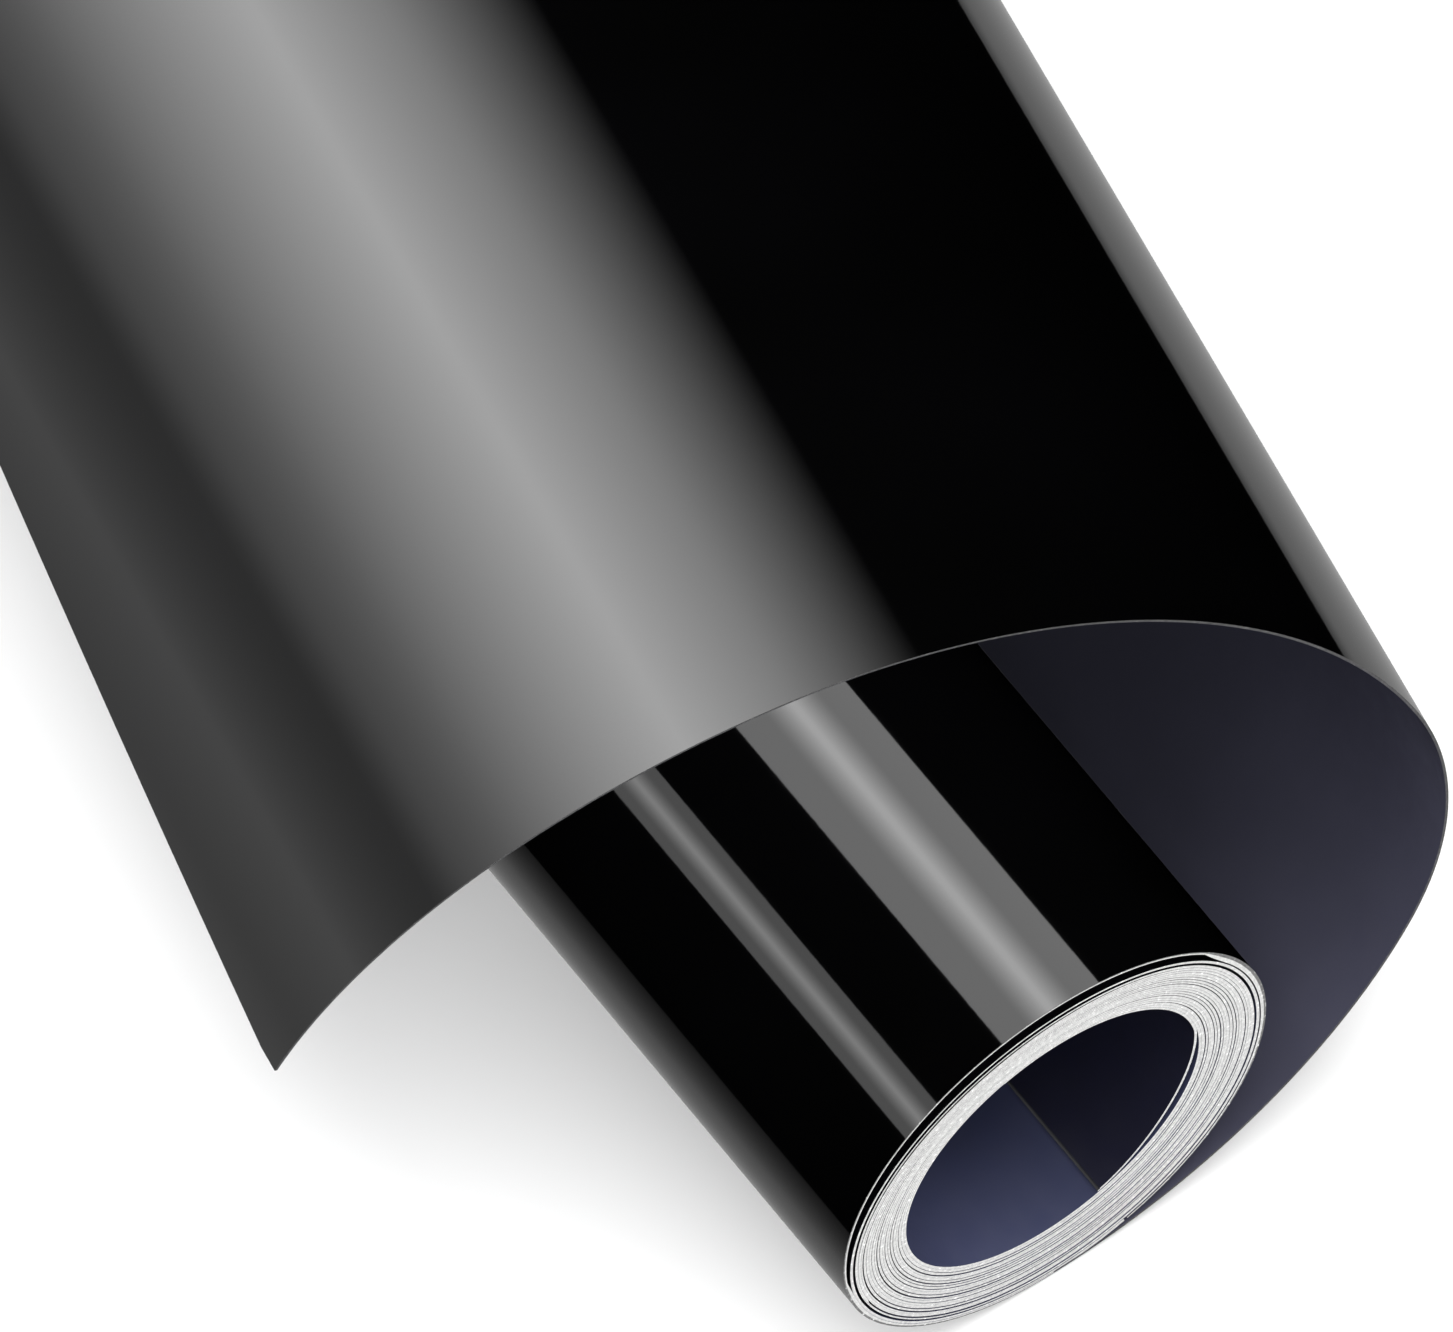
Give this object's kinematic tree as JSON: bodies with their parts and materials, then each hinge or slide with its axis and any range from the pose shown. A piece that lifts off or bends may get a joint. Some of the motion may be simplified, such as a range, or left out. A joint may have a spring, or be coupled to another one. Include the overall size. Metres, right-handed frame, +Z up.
{
  "type": "roll of sign vinyl",
  "caption": "Coreless roll of glossy black sign vinyl on a dark-backed release liner, its outer end unrolled in a wide curl over the roll.",
  "frame": {"origin": "on the axis of the roll's bore, at the front end face", "axes": "+Y along the bore away from the front end, +Z up from the table, +X to the side where the lead leaves the roll"},
  "size_m": [0.1396, 0.3319, 0.0692],
  "materials": {
    "vinyl_film": "high gloss black PVC film",
    "release_liner": "matte navy-charcoal back on white paper, cut edges white"
  },
  "bodies": {
    "outer_wrap": {"wrap_film": "vinyl_film", "wrap_liner": "release_liner", "foot_film": "vinyl_film", "foot_liner": "release_liner"},
    "wound_pack": {"wound_film": "vinyl_film", "wound_liner": "release_liner"},
    "inner_turns": {"inner_film": "vinyl_film", "inner_liner": "release_liner"},
    "inner_tail": {"tail_film": "vinyl_film", "tail_liner": "release_liner"},
    "lead_rise": {"rise_film": "vinyl_film", "rise_liner": "release_liner"},
    "lead_crown": {"crown_film": "vinyl_film", "crown_liner": "release_liner"},
    "free_flap": {"flap_film": "vinyl_film", "flap_liner": "release_liner"},
    "peel_corner": {"corner_film": "vinyl_film"}
  },
  "joints": [
    {"name": "unwind", "type": "hinge", "parent": "outer_wrap", "child": "wound_pack", "pos_m": [0.00038, 0, -0.00105], "axis": [0, 1, 0], "continuous": true},
    {"name": "telescope", "type": "slide", "parent": "wound_pack", "child": "inner_turns", "axis": [0, -1, 0], "range_m": [0, 0.03]},
    {"name": "tail_flex", "type": "hinge", "parent": "inner_turns", "child": "inner_tail", "pos_m": [0.01389, 0, 0.00244], "axis": [0, 1, 0], "range_deg": [0, 30], "stiffness_Nm_per_rad": 0.01},
    {"name": "uncurl_foot", "type": "hinge", "parent": "outer_wrap", "child": "lead_rise", "pos_m": [0.02342, 0.00021, -0.01511], "axis": [0.1616, 0.9869, 0], "range_deg": [0, 25], "stiffness_Nm_per_rad": 1},
    {"name": "uncurl_side", "type": "hinge", "parent": "lead_rise", "child": "lead_crown", "pos_m": [0.03994, 0.00447, 0.02013], "axis": [0.1616, 0.9869, 0], "range_deg": [0, 50], "stiffness_Nm_per_rad": 0.5},
    {"name": "uncurl_top", "type": "hinge", "parent": "lead_crown", "child": "free_flap", "pos_m": [0.00924, 0.0168, 0.04681], "axis": [0.1616, 0.9869, 0], "range_deg": [0, 50], "stiffness_Nm_per_rad": 0.3},
    {"name": "peel", "type": "hinge", "parent": "free_flap", "child": "peel_corner", "pos_m": [-0.04065, 0.03512, 0.02149], "axis": [0.1616, 0.9869, 0], "range_deg": [0, 100]}
  ],
  "couplings": [
    {"joint": "uncurl_side", "follows": "uncurl_foot", "ratio": 2},
    {"joint": "uncurl_top", "follows": "uncurl_foot", "ratio": 2}
  ]
}
